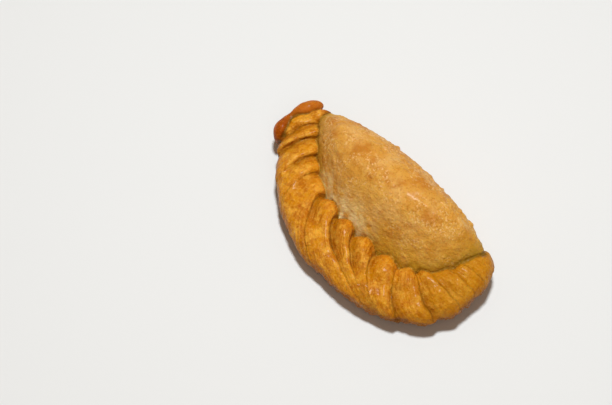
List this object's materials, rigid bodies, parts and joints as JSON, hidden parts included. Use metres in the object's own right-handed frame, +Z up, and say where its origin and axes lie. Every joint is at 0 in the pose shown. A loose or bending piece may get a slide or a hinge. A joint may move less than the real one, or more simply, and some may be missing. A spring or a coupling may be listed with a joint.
{
  "type": "empanada",
  "caption": "Fried half-moon pastry: a folded dough pocket with a domed top, a flat underside, and a rolled, pleated rope of dough along its curved edge",
  "frame": {"origin": "middle of the bounding box's underside, on the surface that the empanada lies on", "axes": "+X runs along the fold from the ear to the round end, +Y points from the pleated rope to the fold, +Z points up through the dome"},
  "size_m": [0.1277, 0.0684, 0.037],
  "materials": {
    "fried_dough": null
  },
  "bodies": {
    "root": {"empanada": "fried_dough"}
  },
  "joints": []
}
